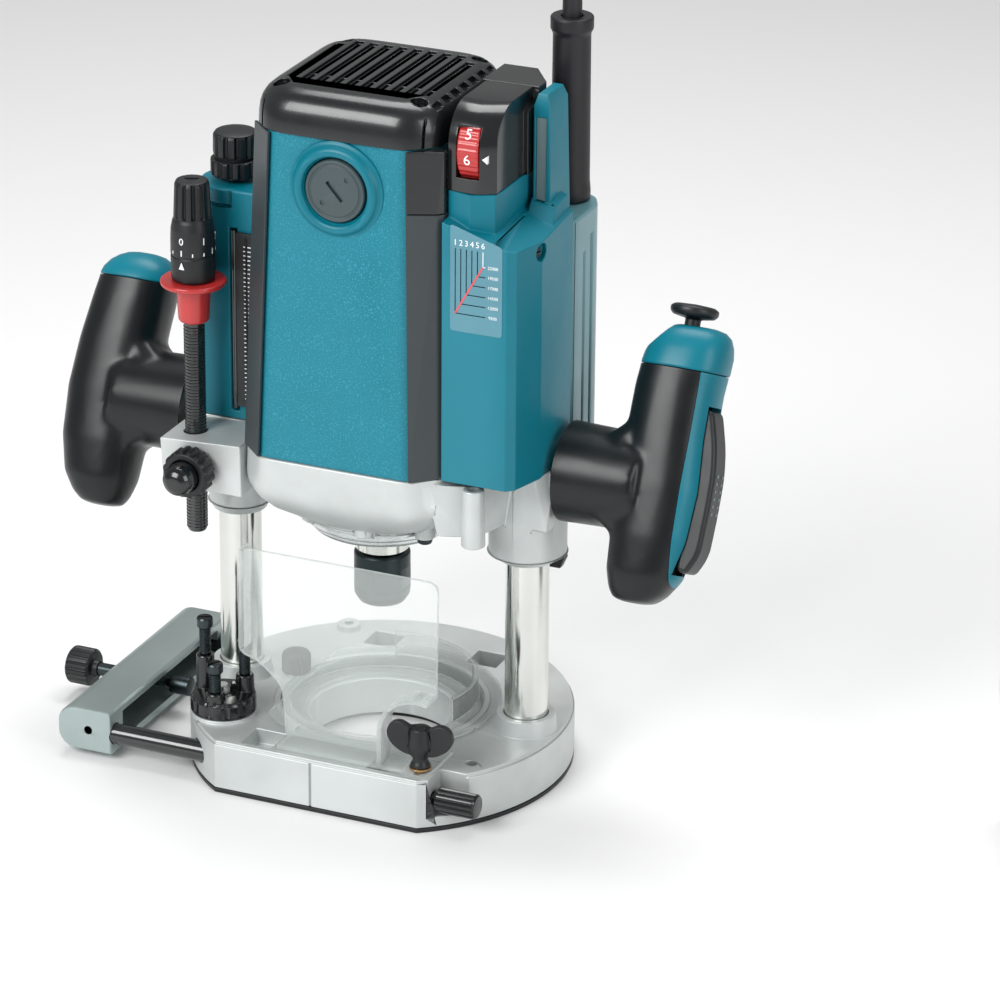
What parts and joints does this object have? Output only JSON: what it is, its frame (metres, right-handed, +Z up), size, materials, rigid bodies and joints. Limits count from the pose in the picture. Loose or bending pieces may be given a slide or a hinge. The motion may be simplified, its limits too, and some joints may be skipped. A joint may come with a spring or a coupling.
{
  "type": "plunge router",
  "caption": "Plunge router: a motor unit with two grips slides on sprung columns above a round base with a side guide, clear deflector, stop turret and depth pole.",
  "frame": {"origin": "bottom centre of the part without its cord; the spindle axis stands 7.5 mm in front of it, at X 0 and Y -0.0075", "axes": "+Z up along the spindle, +X along the grips towards the grip with the switch, -Y the front, where the clear deflector is"},
  "size_m": [0.5837, 0.1609, 0.4685],
  "materials": {
    "teal_plastic": "satin moulded plastic",
    "grey_teal_plastic": "satin moulded plastic",
    "gloss_black": "glossy black plastic",
    "matt_black": "fine-grained black plastic",
    "soft_rubber": "matt rubber",
    "strip_grey": "dark grey plastic",
    "cap_grey": "grey plastic",
    "red_plastic": "red plastic",
    "clear_plastic": "clear moulded plastic",
    "cast_alloy": "fine cast aluminium",
    "bar_alloy": "drawn aluminium",
    "bright_steel": "ground steel",
    "dark_steel": "blackened steel",
    "bronze": "sintered bronze",
    "iron": "laminated iron"
  },
  "bodies": {
    "base": {"base_casting": "cast_alloy", "sole_plate": "matt_black", "left_column": "bright_steel", "right_column": "bright_steel", "left_return_spring": "bright_steel", "right_return_spring": "bright_steel", "height_limit_rod": "dark_steel", "chip_deflector": "clear_plastic", "cord": "soft_rubber", "cord_coil": "soft_rubber", "plug": "soft_rubber"},
    "motor_unit": {"motor_bracket": "cast_alloy", "bearing_flange": "cast_alloy", "left_bushing": "bronze", "right_bushing": "bronze", "motor_housing": "teal_plastic", "brush_cap_front": "cap_grey", "brush_cap_rear": "cap_grey", "corner_strip_left": "strip_grey", "corner_strip_right": "strip_grey", "top_cover": "gloss_black", "left_tower": "teal_plastic", "scale_plate": "matt_black", "control_housing": "teal_plastic", "rear_housing": "grey_teal_plastic", "dial_housing": "gloss_black", "cord_guard": "soft_rubber", "stator": "iron", "upper_bearing": "bright_steel", "lower_bearing": "bright_steel", "left_grip": "matt_black", "left_grip_cap": "teal_plastic", "right_grip": "matt_black", "right_grip_cap": "teal_plastic"},
    "spindle": {"armature": "bright_steel", "cooling_fan": "matt_black", "collet_nut": "dark_steel"},
    "limit_nut": {"height_limit_nut": "matt_black"},
    "depth_pole_unit": {"depth_pole": "matt_black", "depth_pointer": "red_plastic"},
    "pole_knob": {"depth_pole_knob": "matt_black"},
    "pole_clamp": {"clamp_nut": "matt_black"},
    "feed_button": {"fast_feed_button": "matt_black"},
    "turret": {"stopper_block": "gloss_black"},
    "stop_screw_1": {"stopper_screw_1": "dark_steel"},
    "stop_screw_2": {"stopper_screw_2": "dark_steel"},
    "stop_screw_3": {"stopper_screw_3": "dark_steel"},
    "dial": {"speed_dial": "red_plastic"},
    "trigger": {"switch_trigger": "matt_black"},
    "lock_off": {"lock_off_button": "matt_black"},
    "plunge_lock": {"lock_lever": "matt_black"},
    "shaft_lock": {"shaft_lock_button": "matt_black"},
    "guide": {"guide_rod_front": "gloss_black", "guide_rod_rear": "gloss_black", "guide_bar": "bar_alloy"},
    "fine_adjust": {"fine_adjust_screw": "dark_steel", "fine_adjust_knob": "matt_black"},
    "wing": {"wing_screw": "matt_black"},
    "deflector_thumbscrew": {"deflector_screw": "matt_black"},
    "rod_clamp": {"rod_clamp_screw": "matt_black"}
  },
  "joints": [
    {"name": "plunge", "type": "slide", "parent": "base", "child": "motor_unit", "axis": [0, 0, 1], "range_m": [-0.06, 0], "stiffness_N_per_m": 1000, "springref_m": 0.09, "deforming": ["left_return_spring", "right_return_spring"]},
    {"name": "spindle_spin", "type": "hinge", "parent": "motor_unit", "child": "spindle", "pos_m": [0, -0.0075, 0.13], "axis": [0, 0, 1], "continuous": true},
    {"name": "height_limit_nut_turn", "type": "hinge", "parent": "base", "child": "limit_nut", "pos_m": [-0.069, -0.0075, 0.266], "axis": [0, 0, 1], "continuous": true},
    {"name": "depth_pole_slide", "type": "slide", "parent": "motor_unit", "child": "depth_pole_unit", "axis": [0, 0, -1], "range_m": [-0.04, 0.03]},
    {"name": "pole_knob_turn", "type": "hinge", "parent": "depth_pole_unit", "child": "pole_knob", "pos_m": [-0.0745, -0.0385, 0.24], "axis": [0, 0, 1], "continuous": true},
    {"name": "pole_clamp_turn", "type": "hinge", "parent": "motor_unit", "child": "pole_clamp", "pos_m": [-0.0685, -0.0575, 0.14], "axis": [0, -1, 0], "range_deg": [-90, 90]},
    {"name": "feed_button_press", "type": "slide", "parent": "motor_unit", "child": "feed_button", "axis": [0, 1, 0], "range_m": [0, 0.003], "stiffness_N_per_m": 300, "springref_m": -0.003},
    {"name": "turret_turn", "type": "hinge", "parent": "base", "child": "turret", "pos_m": [-0.058, -0.0485, 0.03], "axis": [0, 0, 1], "continuous": true},
    {"name": "stop_screw_1_turn", "type": "hinge", "parent": "turret", "child": "stop_screw_1", "pos_m": [-0.06745, -0.04683, 0.045], "axis": [0, 0, 1], "continuous": true},
    {"name": "stop_screw_2_turn", "type": "hinge", "parent": "turret", "child": "stop_screw_2", "pos_m": [-0.05716, -0.05806, 0.045], "axis": [0, 0, 1], "continuous": true},
    {"name": "stop_screw_3_turn", "type": "hinge", "parent": "turret", "child": "stop_screw_3", "pos_m": [-0.05014, -0.04299, 0.045], "axis": [0, 0, 1], "continuous": true},
    {"name": "speed_dial_turn", "type": "hinge", "parent": "motor_unit", "child": "dial", "pos_m": [0.055, -0.0287, 0.298], "axis": [1, 0, 0], "range_deg": [-210, 60]},
    {"name": "trigger_pull", "type": "slide", "parent": "motor_unit", "child": "trigger", "axis": [-1, 0, 0], "range_m": [0, 0.003], "stiffness_N_per_m": 400, "springref_m": -0.003},
    {"name": "lock_off_press", "type": "slide", "parent": "motor_unit", "child": "lock_off", "axis": [0, -0.4226, -0.9063], "range_m": [0, 0.003], "stiffness_N_per_m": 300, "springref_m": -0.003},
    {"name": "plunge_lock_swing", "type": "hinge", "parent": "motor_unit", "child": "plunge_lock", "pos_m": [0.069, 0.0225, 0.117], "axis": [0, -1, 0], "range_deg": [0, 40]},
    {"name": "shaft_lock_press", "type": "slide", "parent": "motor_unit", "child": "shaft_lock", "axis": [0, -1, 0], "range_m": [0, 0.003], "stiffness_N_per_m": 300, "springref_m": -0.003},
    {"name": "guide_slide", "type": "slide", "parent": "base", "child": "guide", "axis": [1, 0, 0], "range_m": [-0.04, 0.006]},
    {"name": "fine_adjust_turn", "type": "hinge", "parent": "guide", "child": "fine_adjust", "pos_m": [-0.12, -0.0115, 0.0135], "axis": [1, 0, 0], "continuous": true},
    {"name": "wing_screw_turn", "type": "hinge", "parent": "base", "child": "wing", "pos_m": [0.046, -0.0685, 0.035], "axis": [0, 0, 1], "continuous": true},
    {"name": "deflector_screw_turn", "type": "hinge", "parent": "base", "child": "deflector_thumbscrew", "pos_m": [-0.047, 0.0025, 0.03], "axis": [0, 0, 1], "continuous": true},
    {"name": "rod_clamp_turn", "type": "hinge", "parent": "base", "child": "rod_clamp", "pos_m": [0.06, -0.0685, 0.0135], "axis": [1, 0, 0], "continuous": true}
  ]
}
